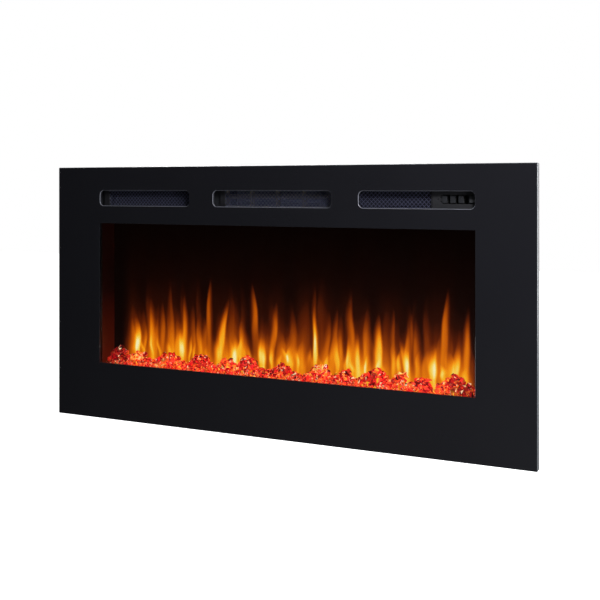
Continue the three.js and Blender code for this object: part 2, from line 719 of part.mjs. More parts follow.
// Mica boards with upright ribs; the coils run through the ribs.
function heaterFrame() {
  const y = grown([HEATER.y, HEATER.y], 7);
  const ribs = [-102, -51, 0, 51].map((x) => block([x - 0.6, x + 0.6], y, [144, 189]));
  const boards = [143.6, 188].map((z) => block([-111, 111], y, [z, z + 1.2]));
  const holes = HEATER.coilZs.map((z) =>
    rodX(HEATER.coilRadius + 0.6, [-120, 70], 12).translate(0, HEATER.y, z));
  return cut(join(...ribs, ...boards), ...holes);
}

// One coil that goes through the ribs, turns at the right end and comes back above itself.
function heatingCoil() {
  const [low, high] = HEATER.coilZs;
  const turn = new THREE.CatmullRomCurve3([
    new THREE.Vector3(-109, HEATER.y, low),
    new THREE.Vector3(60, HEATER.y, low),
    new THREE.Vector3(100, HEATER.y, low),
    new THREE.Vector3(109.5, HEATER.y, (low + high) / 2),
    new THREE.Vector3(100, HEATER.y, high),
    new THREE.Vector3(60, HEATER.y, high),
    new THREE.Vector3(-109, HEATER.y, high),
  ]);
  const section = new THREE.Shape().absarc(0, 0, HEATER.coilRadius, 0, Math.PI * 2);
  return new THREE.ExtrudeGeometry(section, {
    extrudePath: turn,
    steps: 40,
    curveSegments: 5,
    bevelEnabled: false,
  });
}

function heaterDuct() {
  const tube = (by) => [grown([-DUCT.halfWidth, DUCT.halfWidth], by), grown([DUCT.bottom, DUCT.top], by)];
  const shape = roundedRect(...tube(0), 2);
  shape.holes = [roundedHole(...tube(-1), 1.2)];
  return sheet(shape, CASE_FRONT, DUCT.back);
}

// A bimetal cut-out on the duct's side, with two tabs.
function thermalCutout() {
  return join(
    rodX(7, [DUCT.halfWidth + GAP, DUCT.halfWidth + 7]),
    block([DUCT.halfWidth + 6, DUCT.halfWidth + 13], [-4, -1], [-0.4, 0.4]),
    block([DUCT.halfWidth + 6, DUCT.halfWidth + 13], [1, 4], [-0.4, 0.4]),
  );
}

function fanHeater() {
  const blower = group(
    part("fan_wheel", fanWheel(), MATERIALS.bareSteel),
    part("fan_shaft", rodX(FAN.shaft, [-97, 110], 20), MATERIALS.bareSteel),
    part("fan_housing", fanHousing(), MATERIALS.bareSteel),
    part("fan_bearing", ringX(7.2, BORE, [-93, -86.5]), MATERIALS.rubber),
    part("motor_core", motorCore(), MATERIALS.bareSteel),
    part("motor_winding", motorWinding(), MATERIALS.copper),
    part("motor_rotor", ringX(12, BORE, [82, 97], 32), MATERIALS.bareSteel),
    part("motor_bearing", motorBearing(), MATERIALS.bareSteel),
  );
  blower.position.set(0, FAN.y, FAN.z);
  return group(
    blower,
    part("heater_duct", heaterDuct(), MATERIALS.bareSteel),
    part("heater_frame", heaterFrame(), MATERIALS.mica),
    part("heating_coil", heatingCoil(), MATERIALS.nichrome),
    part("thermal_cutout", thermalCutout(), MATERIALS.blackPlastic, [0, HEATER.y, 166]),
  );
}

// ---------------------------------------------------------------- electronics

// The supply board, upright in the left cavity, with its transformer, relays and capacitor.
function powerBoard() {
  const board = block([-414, -412.4], [-78, -18], [-60, 70]);
  const transformer = block([-413, -386], [-72, -44], [-52, -20]);
  const relays = [0, 24].map((z) => block([-413, -396], [-70, -42], [z, z + 18]));
  const capacitor = rodX(7, [-413, -388], 20).translate(0, -30, 50);
  const plug = block([-413, -402], [-36, -22], [-50, -20]);
  return join(board, transformer, ...relays, capacitor, plug);
}

function terminalBlock() {
  const ways = 4;
  const body = block([400, 414], [-66, -26], [-112, -98]);
  const wells = Array.from({ length: ways }, (_, i) =>
    rodX(3, [395, 404], 16).translate(0, -61 + i * 10, -105));
  return cut(body, ...wells);
}

function electronics() {
  return group(
    part("power_board", powerBoard(), MATERIALS.board),
    part("terminal_block", terminalBlock(), MATERIALS.nylon),
  );
}

// ---------------------------------------------------------------- the fireplace

const fireplace = group(
  frontPanel(),
  caseParts(),
  grilles(),
  controls(),
  firebox(),
  projector(),
  fanHeater(),
  electronics(),
);

export default fireplace;
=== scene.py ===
"""Looks of the wall-mounted electric fireplace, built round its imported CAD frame.

Units are metres, in the CAD frame: X along the width, Y into the wall, Z up. The glass front
faces -Y. MM turns a size in millimetres into metres. Colours such as "a0b1c2" are display
colours, and srgb() makes them linear.
"""

import math

import bmesh
import bpy
import numpy as np
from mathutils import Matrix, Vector
from mathutils.geometry import tessellate_polygon


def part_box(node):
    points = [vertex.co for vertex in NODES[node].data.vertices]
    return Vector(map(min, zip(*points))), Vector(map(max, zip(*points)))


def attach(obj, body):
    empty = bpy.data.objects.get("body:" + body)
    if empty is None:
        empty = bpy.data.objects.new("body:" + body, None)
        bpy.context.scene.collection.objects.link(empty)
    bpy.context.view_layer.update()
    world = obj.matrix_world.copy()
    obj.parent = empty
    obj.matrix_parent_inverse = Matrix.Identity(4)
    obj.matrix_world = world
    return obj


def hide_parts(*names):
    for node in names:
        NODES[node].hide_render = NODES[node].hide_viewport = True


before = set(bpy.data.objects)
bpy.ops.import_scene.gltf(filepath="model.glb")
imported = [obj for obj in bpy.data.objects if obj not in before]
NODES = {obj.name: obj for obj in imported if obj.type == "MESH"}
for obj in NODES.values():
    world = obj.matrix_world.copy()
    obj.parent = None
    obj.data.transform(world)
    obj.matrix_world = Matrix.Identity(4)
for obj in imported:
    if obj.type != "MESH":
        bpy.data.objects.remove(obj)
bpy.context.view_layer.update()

MM = 0.001

# ------------------------------------------------------------------ places from the frame

GLASS_LOW, GLASS_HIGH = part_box("front_glass")
SCREEN_LOW, SCREEN_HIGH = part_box("flame_screen")
BED_LOW, BED_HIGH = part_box("crystal_bed")

WINDOW = {"x": (-360.5 * MM, 360.5 * MM), "z": (-127.4 * MM, 126.8 * MM)}
SLOT_Z = (158.8 * MM, 186.0 * MM)
SLOT_RADIUS = 8 * MM
SLOTS = {
    "left": (-359.8 * MM, -163.6 * MM),
    "center": (-114.3 * MM, 114.3 * MM),
    "right": (163.6 * MM, 359.8 * MM),
}
RIM_WIDTH = 0.8 * MM


def srgb(code):
    """A display colour such as "a0b1c2" as linear red, green and blue."""
    values = [int(code[i : i + 2], 16) / 255 for i in (0, 2, 4)]
    return tuple(v / 12.92 if v <= 0.04045 else ((v + 0.055) / 1.055) ** 2.4 for v in values)


# ------------------------------------------------------------------ mesh helpers


def add_piece(name, vertices, faces, body, slot, *replaced, smooth_angle=None):
    """A new mesh object that rides on a body and stands for the named CAD nodes."""
    mesh = bpy.data.meshes.new(name)
    mesh.from_pydata([tuple(v) for v in vertices], [], [tuple(f) for f in faces])
    mesh.validate()
    mesh.update()
    if smooth_angle is not None:
        mesh.shade_smooth()
        mesh.set_sharp_from_angle(angle=math.radians(smooth_angle))
    piece = bpy.data.objects.new(name, mesh)
    bpy.context.scene.collection.objects.link(piece)
    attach(piece, body)
    if replaced:
        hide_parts(*replaced)
    return piece


class Builder:
    """Collects vertices and faces, with an optional material index for each face."""

    def __init__(self):
        self.vertices = []
        self.faces = []
        self.indices = []

    def add(self, vertices, faces, index=0):
        start = len(self.vertices)
        self.vertices.extend(vertices)
        self.faces.extend([tuple(start + i for i in face) for face in faces])
        self.indices.extend([index] * len(faces))

    def piece(self, name, body, slot, *replaced, materials=(), smooth_angle=None):
        made = add_piece(
            name, self.vertices, self.faces, body, slot, *replaced, smooth_angle=smooth_angle
        )
        for surface in materials:
            made.data.materials.append(surface)
        if len(made.data.polygons) == len(self.indices):
            made.data.polygons.foreach_set("material_index", self.indices)
        return made


def rounded_loop(x, z, radius, grow=0.0, corner_steps=8):
    """Points round a rectangle with rounded corners, grown outwards by a distance."""
    smallest_radius = 0.05 * MM
    x0, x1, z0, z1 = x[0] - grow, x[1] + grow, z[0] - grow, z[1] + grow
    radius = max(radius + grow, smallest_radius)
    corners = [
        (x1 - radius, z0 + radius, -90),
        (x1 - radius, z1 - radius, 0),
        (x0 + radius, z1 - radius, 90),
        (x0 + radius, z0 + radius, 180),
    ]
    points = []
    for cx, cz, start in corners:
        for step in range(corner_steps + 1):
            angle = math.radians(start + 90 * step / corner_steps)
            points.append((cx + radius * math.cos(angle), cz + radius * math.sin(angle)))
    return points


def slab(builder, outer, holes, y, edge, face_index=0, edge_index=0, hole_edge=None, steps=3):
    """A flat plate with holes and rounded edges.

    outer and holes are (x, z, radius) rectangles, y is (front, back), and edge is the size of
    the rounding. hole_edge is the rounding round the holes, where it differs.
    """
    front, back = y
    smallest_turn = 1e-14  # below this a triangle has no area
    hole_edge = edge if hole_edge is None else hole_edge
    loops = [(outer, -1, edge)] + [(hole, 1, hole_edge) for hole in holes]
    start = len(builder.vertices)
    cap_front, cap_back = [], []
    vertices, faces = [], []
    for (x, z, radius), side, size in loops:
        rings = []
        for step in range(steps + 1):
            angle = math.pi / 2 * step / steps
            grow = side * size * (1 - math.sin(angle))
            rings.append((grow, front + size * (1 - math.cos(angle))))
        rings += [(grow, back - (depth - front)) for grow, depth in reversed(rings)]
        ring_indices = []
        for grow, depth in rings:
            points = rounded_loop(x, z, radius, grow)
            ring_indices.append(range(len(vertices), len(vertices) + len(points)))
            vertices.extend([(px, depth, pz) for px, pz in points])
        for low, high in zip(ring_indices, ring_indices[1:]):
            count = len(low)
            for i in range(count):
                j = (i + 1) % count
                quad = (low[i], low[j], high[j], high[i])
                faces.append(quad if side < 0 else quad[::-1])
        cap_front.append(list(ring_indices[0]))
        cap_back.append(list(ring_indices[-1]))
    builder.add(vertices, faces, edge_index)
    for cap, flip in ((cap_front, False), (cap_back, True)):
        flat = [i for loop in cap for i in loop]
        polygons = [[Vector((vertices[i][0], vertices[i][2], 0)) for i in loop] for loop in cap]
        triangles = []
        for a, b, c in tessellate_polygon(polygons):
            pa, pb, pc = (vertices[flat[k]] for k in (a, b, c))
            turn = (pb[0] - pa[0]) * (pc[2] - pa[2]) - (pb[2] - pa[2]) * (pc[0] - pa[0])
            if abs(turn) < smallest_turn:
                continue
            order = (a, b, c) if (turn > 0) != flip else (a, c, b)
            triangles.append(tuple(start + flat[k] for k in order))
        builder.faces.extend(triangles)
        builder.indices.extend([face_index] * len(triangles))


def bar(builder, a, b, width, depth, y, index=0):
    """A flat bar in X and Z from a to b, with its front at y."""
    ax, az = a
    bx, bz = b
    length = math.hypot(bx - ax, bz - az)
    nx, nz = -(bz - az) / length * width / 2, (bx - ax) / length * width / 2
    corners = [(ax + nx, az + nz), (bx + nx, bz + nz), (bx - nx, bz - nz), (ax - nx, az - nz)]
    vertices = [(cx, y, cz) for cx, cz in corners] + [(cx, y + depth, cz) for cx, cz in corners]
    faces = [(0, 1, 2, 3), (7, 6, 5, 4), (0, 4, 5, 1), (1, 5, 6, 2), (2, 6, 7, 3), (3, 7, 4, 0)]
    builder.add(vertices, faces, index)


def tube(builder, path, radius, sides=8, index=0):
    """A round tube with closed ends along a list of points."""
    points = [Vector(p) for p in path]
    rings = []
    normal = None
    for i, point in enumerate(points):
        ahead = points[min(i + 1, len(points) - 1)] - points[max(i - 1, 0)]
        ahead.normalize()
        if normal is None:
            normal = ahead.orthogonal().normalized()
        normal = (normal - ahead * normal.dot(ahead)).normalized()
        side = ahead.cross(normal)
        ring = []
        for k in range(sides):
            angle = 2 * math.pi * k / sides
            ring.append(point + radius * (math.cos(angle) * normal + math.sin(angle) * side))
        rings.append(ring)
    vertices = [tuple(v) for ring in rings for v in ring]
    faces = []
    for i in range(len(rings) - 1):
        for k in range(sides):
            j = (k + 1) % sides
            faces.append((i * sides + k, i * sides + j, (i + 1) * sides + j, (i + 1) * sides + k))
    faces.append(tuple(range(sides))[::-1])
    faces.append(tuple((len(rings) - 1) * sides + k for k in range(sides)))
    builder.add(vertices, faces, index)


# ------------------------------------------------------------------ material helpers


def map_range(tree, value, given, wanted=(0.0, 1.0)):
    """A node that turns the span given of a value into the span wanted."""
    node = tree.nodes.new("ShaderNodeMapRange")
    for socket, number in zip(("From Min", "From Max", "To Min", "To Max"), (*given, *wanted)):
        node.inputs[socket].default_value = number
    tree.links.new(value, node.inputs["Value"])
    return node


class Shader:
    """A Principled material whose nodes are added one call at a time."""

    def __init__(self, name, color, roughness, metallic=0.0):
        self.surface = bpy.data.materials.new(name)
        self.surface.use_nodes = True
        self.nodes = self.surface.node_tree.nodes
        self.links = self.surface.node_tree.links
        self.shader = self.nodes["Principled BSDF"]
        self.set("Base Color", (*color, 1))
        self.set("Roughness", roughness)
        self.set("Metallic", metallic)
        self.color = color
        self.roughness = roughness
        self.place = self.nodes.new("ShaderNodeTexCoord").outputs["Object"]

    def set(self, socket, value):
        self.shader.inputs[socket].default_value = value
        return self

    def noise(self, scale, detail=3.0, stretch=(1, 1, 1)):
        place = self.place
        if stretch != (1, 1, 1):
            mapping = self.nodes.new("ShaderNodeMapping")
            mapping.inputs["Scale"].default_value = stretch
            self.links.new(place, mapping.inputs["Vector"])
            place = mapping.outputs["Vector"]
        texture = self.nodes.new("ShaderNodeTexNoise")
        texture.inputs["Scale"].default_value = scale
        texture.inputs["Detail"].default_value = detail
        self.links.new(place, texture.inputs["Vector"])
        return texture.outputs["Fac"]

    def ramp(self, value, low, high, start=0.3, end=0.7):
        """value from start to end becomes a colour from low to high."""
        ramp = self.nodes.new("ShaderNodeValToRGB")
        ramp.color_ramp.elements[0].position = start
        ramp.color_ramp.elements[0].color = (*low, 1)
        ramp.color_ramp.elements[1].position = end
        ramp.color_ramp.elements[1].color = (*high, 1)
        self.links.new(value, ramp.inputs["Fac"])
        return ramp.outputs["Color"]

    def spread(self, value, low, high):
        """value from 0.25 to 0.75 becomes a number from low to high."""
        return map_range(self.surface.node_tree, value, (0.25, 0.75), (low, high)).outputs["Result"]

    def vary_color(self, scale, amount, stretch=(1, 1, 1)):
        low = tuple(c * (1 - amount) for c in self.color)
        high = tuple(min(c * (1 + amount), 1) for c in self.color)
        color = self.ramp(self.noise(scale, 4, stretch), low, high)
        self.links.new(color, self.shader.inputs["Base Color"])
        return self

    def vary_roughness(self, scale, amount, stretch=(1, 1, 1)):
        smoothest = 0.02
        low = max(self.roughness - amount, smoothest)
        value = self.spread(self.noise(scale, 3, stretch), low, self.roughness + amount)
        self.links.new(value, self.shader.inputs["Roughness"])
        return self

    def bump(self, scale, depth, detail=2.0, stretch=(1, 1, 1)):
        """Raises the surface by up to depth metres."""
        bump = self.nodes.new("ShaderNodeBump")
        bump.inputs["Distance"].default_value = depth
        bump.inputs["Strength"].default_value = 1.0
        self.links.new(self.noise(scale, detail, stretch), bump.inputs["Height"])
        self.links.new(bump.outputs["Normal"], self.shader.inputs["Normal"])
        return self

    def attribute(self, name):
        """The colour that the mesh carries under a name."""
        node = self.nodes.new("ShaderNodeAttribute")
        node.attribute_name = name
        return node.outputs["Color"]

    def along(self, axis, start, end):
        """A number that goes from 0 to 1 between two places on an axis."""
        axes = self.nodes.new("ShaderNodeSeparateXYZ")
        self.links.new(self.place, axes.inputs["Vector"])
        return map_range(self.surface.node_tree, axes.outputs[axis], (start, end)).outputs["Result"]


def moulded(name, color, roughness=0.5):
    shader = Shader(name, color, roughness)
    return shader.vary_color(180, 0.12).vary_roughness(90, 0.08).bump(2600, 0.02 * MM).surface


def powder_coat(name, color):
    shader = Shader(name, color, 0.48)
    shader.vary_color(40, 0.12).vary_roughness(30, 0.08).bump(1500, 0.03 * MM, 3)
    return shader.surface


def bare_sheet(name, color, roughness=0.34):
    """Zinc-plated sheet, with rolling lines along X and faint cloudy patches."""
    shader = Shader(name, color, roughness, 0.9)
    shader.vary_color(22, 0.16).vary_roughness(700, 0.1, (0.06, 1, 1))
    return shader.bump(1400, 0.004 * MM, 2, (0.04, 1, 1)).surface


# ------------------------------------------------------------------ materials


def black_glass():
    """Paint on the back of clear glass: a dark layer under a smooth clear coat."""
    shader = Shader("black_glass", srgb("1f1f23"), 0.55)
    shader.vary_color(6, 0.05)
    shader.set("Specular IOR Level", 0.0)
    shader.set("Coat Weight", 1.0).set("Coat Roughness", 0.02).set("Coat IOR", 1.5)
    return shader.surface


def glass_edge():
    shader = Shader("glass_edge", srgb("4c5054"), 0.3)
    return shader.vary_color(300, 0.12).vary_roughness(900, 0.1).bump(1800, 0.01 * MM).surface


def clear_glass():
    shader = Shader("window_glass", (0.96, 0.965, 0.96), 0.0)
    shader.vary_color(3, 0.01)
    shader.set("IOR", 1.45).set("Transmission Weight", 1.0)
    return shader.surface


def slot_rim():
    shader = Shader("slot_rim", srgb("70717a"), 0.34, 0.1)
    return shader.vary_color(260, 0.1).vary_roughness(500, 0.1).bump(1200, 0.006 * MM).surface


def mesh_paint():
    shader = Shader("mesh_paint", srgb("5a5c74"), 0.4, 0.1)
    return shader.vary_color(240, 0.2).vary_roughness(400, 0.1).bump(2500, 0.02 * MM).surface


def enamel():
    """Gloss enamel on the firebox's sides, with painted flame light: a glow that is brightest low
    down and fades upwards.
    """
    shader = Shader("firebox_enamel", srgb("1e0806"), 0.35)
    height = shader.along("Z", *WINDOW["z"])
    # painted flame light: an emission colour that is brightest at the window's lower edge and fades
    # by half the window's height
    glow = shader.ramp(height, srgb("460f03"), srgb("0b0201"), 0.0, 0.52)
    shader.links.new(glow, shader.shader.inputs["Emission Color"])
    shader.set("Emission Strength", 1.0)
    return shader.vary_color(35, 0.2).vary_roughness(60, 0.08).bump(900, 0.01 * MM).surface


def crystal_glass():
    shader = Shader("crystal_glass", srgb("b02018"), 0.06)
    tint = shader.attribute("tint")
    shader.links.new(tint, shader.shader.inputs["Base Color"])
    # painted light: the stones glow though they are no lamp; the glow stands in for the light that
    # shines through and off them
    shader.links.new(shader.attribute("glow"), shader.shader.inputs["Emission Color"])
    shader.set("Emission Strength", 1.0).set("IOR", 1.55)
    return shader.vary_roughness(300, 0.04).bump(420, 0.05 * MM).surface


def flame_light():
    """The smoked screen, lit from behind by the flame picture."""
    shader = Shader("flame_light", srgb("060302"), 0.6)
    shader.vary_color(20, 0.2).bump(1500, 0.002 * MM)
    shader.set("Specular IOR Level", 0.05)
    shader.links.new(shader.attribute("picture"), shader.shader.inputs["Emission Color"])
    shader.set("Emission Strength", 1.0)
    return shader.surface


def clear_acrylic():
    shader = Shader("clear_acrylic", srgb("e8b0a4"), 0.12)
    shader.set("Transmission Weight", 0.6).set("IOR", 1.49)
    return shader.vary_roughness(200, 0.05).bump(500, 0.01 * MM).surface


def circuit_board(name, color):
    shader = Shader(name, color, 0.4)
    return shader.vary_color(420, 0.45).vary_roughness(300, 0.1).bump(900, 0.03 * MM).surface


def mica():
    shader = Shader("mica", srgb("8d8570"), 0.45)
    return shader.vary_color(130, 0.22).vary_roughness(90, 0.12).bump(600, 0.02 * MM).surface


def rubber():
    shader = Shader("rubber", srgb("151515"), 0.8)
    return shader.vary_color(150, 0.2).vary_roughness(120, 0.08).bump(1800, 0.03 * MM).surface


def mirror_foil():
    shader = Shader("mirror_foil", srgb("dcdee0"), 0.08, 1.0)
    return shader.vary_color(60, 0.04).vary_roughness(80, 0.04).bump(160, 0.05 * MM).surface


def key_caps():
    """Grey caps whose skirts, behind the control plate, are darkened to near black as painted shade.
    """
    plate_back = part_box("control_plate")[1].y
    shader = Shader("key_plastic", srgb("202124"), 0.42)
    mix = shader.nodes.new("ShaderNodeMix")
    mix.data_type = "RGBA"
    speckle = shader.ramp(shader.noise(500, 3), srgb("202124"), srgb("2a2b2e"))
    # painted shade: the caps fade to near black behind the control plate, where its shade falls
    depth = shader.along("Y", plate_back - 1.1 * MM, plate_back - 0.1 * MM)
    shader.links.new(depth, mix.inputs["Factor"])
    shader.links.new(speckle, mix.inputs["A"])
    mix.inputs["B"].default_value = (*srgb("0a0a0b"), 1)
    shader.links.new(mix.outputs["Result"], shader.shader.inputs["Base Color"])
    return shader.vary_roughness(90, 0.08).bump(2600, 0.02 * MM).surface


MATERIALS = {
    "black_glass": black_glass(),
    "glass_edge": glass_edge(),
    "window_glass": clear_glass(),
    "slot_rim": slot_rim(),
    "mesh_paint": mesh_paint(),
    "enamel": enamel(),
    "crystal": crystal_glass(),
    "flame": flame_light(),
    "acrylic": clear_acrylic(),
    "board": circuit_board("circuit_board", srgb("1d5a36")),
    # painted shade: the control board, seen between the keys, is near black to stand in for the
    # shade in the key recess
    "shade_dark_board": circuit_board("circuit_board_dark_for_shade", srgb("121513")),
    "mica": mica(),
    "rubber": rubber(),
    "mirror": mirror_foil(),
    "black_steel": powder_coat("black_steel", srgb("1b1c1f")),
    "case_steel": powder_coat("case_steel", srgb("25262a")),
    "bare_steel": bare_sheet("bare_steel", srgb("b4b6b9")),
    "copper": bare_sheet("copper_wire", srgb("b5673c"), 0.3),
    "nichrome": bare_sheet("nichrome_wire", srgb("d8d0c6"), 0.4),
    "black_plastic": moulded("black_plastic", srgb("1b1b1f")),
    "control_plastic": moulded("control_plastic", srgb("27272a")),
    "smoked_plastic": moulded("smoked_plastic", srgb("0b0b0c"), 0.2),
    "gland_plastic": moulded("gland_plastic", srgb("1a1a1c"), 0.42),
    "key_plastic": key_caps(),
    "nylon": moulded("nylon", srgb("e6e2d6"), 0.42),
}

NODE_MATERIALS = {
    "black_steel": ["front_frame", "flame_stencil"],
    "case_steel": [
        "front_plate",
        "top_panel",
        "bottom_panel",
        "left_panel",
        "right_panel",
        "back_cover",
        "top_baffle",
    ],
    "bare_steel": [
        *[n for n in NODES if n.startswith(("hook_", "cover_screw_"))],
        "flicker_motor",
        "flicker_motor_bracket",
        "flicker_bearing_bracket",
        "fan_wheel",
        "fan_shaft",
        "fan_housing",
        "motor_core",
        "motor_rotor",
        "motor_bearing",
        "heater_duct",
    ],
    "black_plastic": [
        *[n for n in NODES if n.startswith("grille_frame_")],
        "rocker_housing",
        "thermal_cutout",
    ],
    "control_plastic": ["control_plate"],
    "gland_plastic": ["cable_gland"],
    "key_plastic": ["flame_button", "heat_button", "timer_button", "power_rocker"],
    "enamel": ["firebox_liner_left", "firebox_liner_right"],
    "acrylic": ["ember_tray"],
    "smoked_plastic": ["light_guide"],
    "shade_dark_board": ["control_board"],
    "board": ["power_board", "ember_led_board", "flame_led_board"],
    "mirror": ["flicker_rod"],
    "mica": ["heater_frame"],
    "nichrome": ["heating_coil"],
    "copper": ["motor_winding"],
    "nylon": ["terminal_block", "flicker_bearing"],
    "rubber": ["flicker_coupler", "fan_bearing"],
    "mesh_paint": [n for n in NODES if n.startswith("grille_mesh_")],
    "crystal": ["crystal_bed"],
    "flame": ["flame_screen"],
    "black_glass": ["front_glass"],
}

# How far the edges of the visible CAD nodes are rounded.
SOFT_EDGES = {
    0.25 * MM: [
        "front_frame",
        "front_plate",
        "top_panel",
        "bottom_panel",
        "left_panel",
        "right_panel",
        "back_cover",
        "control_plate",
        "rocker_housing",
        *[n for n in NODES if n.startswith("grille_frame_")],
        *[n for n in NODES if n.startswith("cover_screw_")],
    ],
    0.5 * MM: ["flame_button", "heat_button", "timer_button", "power_rocker", "cable_gland"],
}
SHARPEST_ANGLE = math.radians(35)  # edges that turn by less than this stay as they are
WELD_DISTANCE = 0.01 * MM


def dress_cad_nodes():
    """Gives every CAD node its material, and soft edges to those that show."""
    for name, nodes in NODE_MATERIALS.items():
        for node in nodes:
            NODES[node].data.materials.clear()
            NODES[node].data.materials.append(MATERIALS[name])
    dressed = {node for nodes in NODE_MATERIALS.values() for node in nodes}
    missing = sorted(set(NODES) - dressed)
    if missing:
        raise ValueError(f"these CAD nodes have no material: {missing}")
    for width, nodes in SOFT_EDGES.items():
        for node in nodes:
            weld = NODES[node].modifiers.new("weld", "WELD")
            weld.merge_threshold = WELD_DISTANCE
            bevel = NODES[node].modifiers.new("soft_edges", "BEVEL")
            bevel.width = width
            bevel.segments = 2
            bevel.limit_method = "ANGLE"
            bevel.angle_limit = SHARPEST_ANGLE
            bevel.harden_normals = True


# ------------------------------------------------------------------ glass front

GROUND_EDGE = 0.7 * MM  # the rounding of the glass's outer edge
CUT_EDGE = 0.05 * MM  # the rounding at the slots' rims and between the border and the window
GLASS_CORNER = 1.5 * MM
WINDOW_CORNER = 0.3 * MM


def make_front_glass():
    """The black border with its three slots, the clear window in it and the slots' rims."""
    y = (GLASS_LOW.y, GLASS_HIGH.y)
    outer = ((GLASS_LOW.x, GLASS_HIGH.x), (GLASS_LOW.z, GLASS_HIGH.z), GLASS_CORNER)
    seam = 0.05 * MM
    holes = [
        (
            (x[0] - RIM_WIDTH, x[1] + RIM_WIDTH),
            (SLOT_Z[0] - RIM_WIDTH, SLOT_Z[1] + RIM_WIDTH),
            SLOT_RADIUS + RIM_WIDTH,
        )
        for x in SLOTS.values()
    ]
    border = Builder()
    window = (WINDOW["x"], WINDOW["z"], WINDOW_CORNER)
    slab(border, outer, [*holes, window], y, GROUND_EDGE, 0, 1, hole_edge=CUT_EDGE, steps=2)
    border.piece(
        "glass_border",
        "front_panel",
        "black_glass",
        "front_glass",
        materials=[MATERIALS["black_glass"], MATERIALS["glass_edge"]],
        smooth_angle=40,
    )
    pane = Builder()
    x, z, radius = window
    inner = ((x[0] + seam, x[1] - seam), (z[0] + seam, z[1] - seam), radius)
    slab(pane, inner, [], y, CUT_EDGE, 0, 1, steps=1)
    pane.piece(
        "glass_window",
        "front_panel",
        "black_glass",
        materials=[MATERIALS["window_glass"], MATERIALS["black_glass"]],
    )
    for place, x in SLOTS.items():
        make_slot_rim(place, x)


def make_slot_rim(place, x):
    """The ground bevel round a slot: a ring whose front slopes into the slot."""
    ring = Builder()
    shape = (x, SLOT_Z, SLOT_RADIUS)
    front, back = GLASS_LOW.y, GLASS_HIGH.y
    gap = 0.03 * MM  # to the border round it
    # The ring's cross-section: how far each point stands outside the slot, and its depth.
    sections = [
        (RIM_WIDTH - gap, front + 0.02 * MM),
        (RIM_WIDTH * 0.8, front + 0.04 * MM),
        (0.05 * MM, front + RIM_WIDTH),
        (0.0, front + RIM_WIDTH + 0.1 * MM),
        (0.0, back),
        (RIM_WIDTH - gap, back),
    ]
    bevel_sections = 3
    loops = [
        [(px, y, pz) for px, pz in rounded_loop(*shape, grow=grow, corner_steps=12)]
        for grow, y in sections
    ]
    count = len(loops[0])
    vertices = [p for loop in loops for p in loop]
    ring.vertices.extend(vertices)
    for k in range(len(loops)):
        low, high = k * count, (k + 1) % len(loops) * count
        for i in range(count):
            j = (i + 1) % count
            ring.faces.append((high + j, high + i, low + i, low + j))
            ring.indices.append(0 if k < bevel_sections else 1)
    ring.piece(
        f"slot_rim_{place}",
        "front_panel",
        "black_glass",
        materials=[MATERIALS["slot_rim"], MATERIALS["black_glass"]],
        smooth_angle=50,
    )


# ------------------------------------------------------------------ grilles

MESH_PITCH = 7.0 * MM  # across a diamond
MESH_WIRE = 0.7 * MM
MESH_SELVAGE = 1.2 * MM  # the solid strip round the mesh
SHORTEST_WIRE = 0.5 * MM


def clip_diagonal(x, z, offset, rising):
    """The ends of a 45 degree line inside a rectangle, or None where it misses."""
    (x0, x1), (z0, z1) = x, z
    if rising:
        low = max(x0, z0 - offset)
        high = min(x1, z1 - offset)
        ends = [(low, low + offset), (high, high + offset)]
    else:
        low = max(x0, offset - z1)
        high = min(x1, offset - z0)
        ends = [(low, offset - low), (high, offset - high)]
    return ends if high - low > SHORTEST_WIRE else None


def make_grille(place):
    """A diamond mesh of crossed flat wires, in the space of its CAD sheet."""
    low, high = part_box(f"grille_mesh_{place}")
    x, z = (low.x, high.x), (low.z, high.z)
    mesh = Builder()
    depth = (high.y - low.y) / 2
    for rising in (True, False):
        start, end = (z[0] - x[1], z[1] - x[0]) if rising else (z[0] + x[0], z[1] + x[1])
        count = int((end - start) / MESH_PITCH) + 1
        for k in range(count + 1):
            ends = clip_diagonal(x, z, start + k * MESH_PITCH, rising)
            if ends:
                y = low.y + (0.0 if rising else depth)
                bar(mesh, *ends, MESH_WIRE, depth * 1.02, y)
    inset = MESH_SELVAGE / 2
    for a, b in (
        ((x[0], z[0] + inset), (x[1], z[0] + inset)),
        ((x[0], z[1] - inset), (x[1], z[1] - inset)),
        ((x[0] + inset, z[0]), (x[0] + inset, z[1])),
        ((x[1] - inset, z[0]), (x[1] - inset, z[1])),
    ):
        bar(mesh, a, b, MESH_SELVAGE, depth * 1.9, low.y + 0.02 * MM)
    mesh.piece(
        f"grille_wires_{place}",
        "chassis",
        "grille_mesh",
        f"grille_mesh_{place}",
        materials=[MATERIALS["mesh_paint"]],
    )


# ------------------------------------------------------------------ flame picture

FLAME_STEP = 1.5 * MM
FLAME_FOOT = -114 * MM  # where the flames start, behind the crystals

# Heat from 0 to 1 and the display colour that it gives.
FLAME_COLORS = [
    (0.00, "0a0302"),
    (0.08, "160502"),
    (0.18, "2c0c03"),
    (0.32, "5e1f04"),
    (0.46, "923b04"),
    (0.60, "ca5e05"),
    (0.71, "ee8009"),
    (0.80, "ffa116"),
    (0.88, "ffc130"),
    (0.94, "ffde6a"),
    (0.99, "fff4b8"),
]

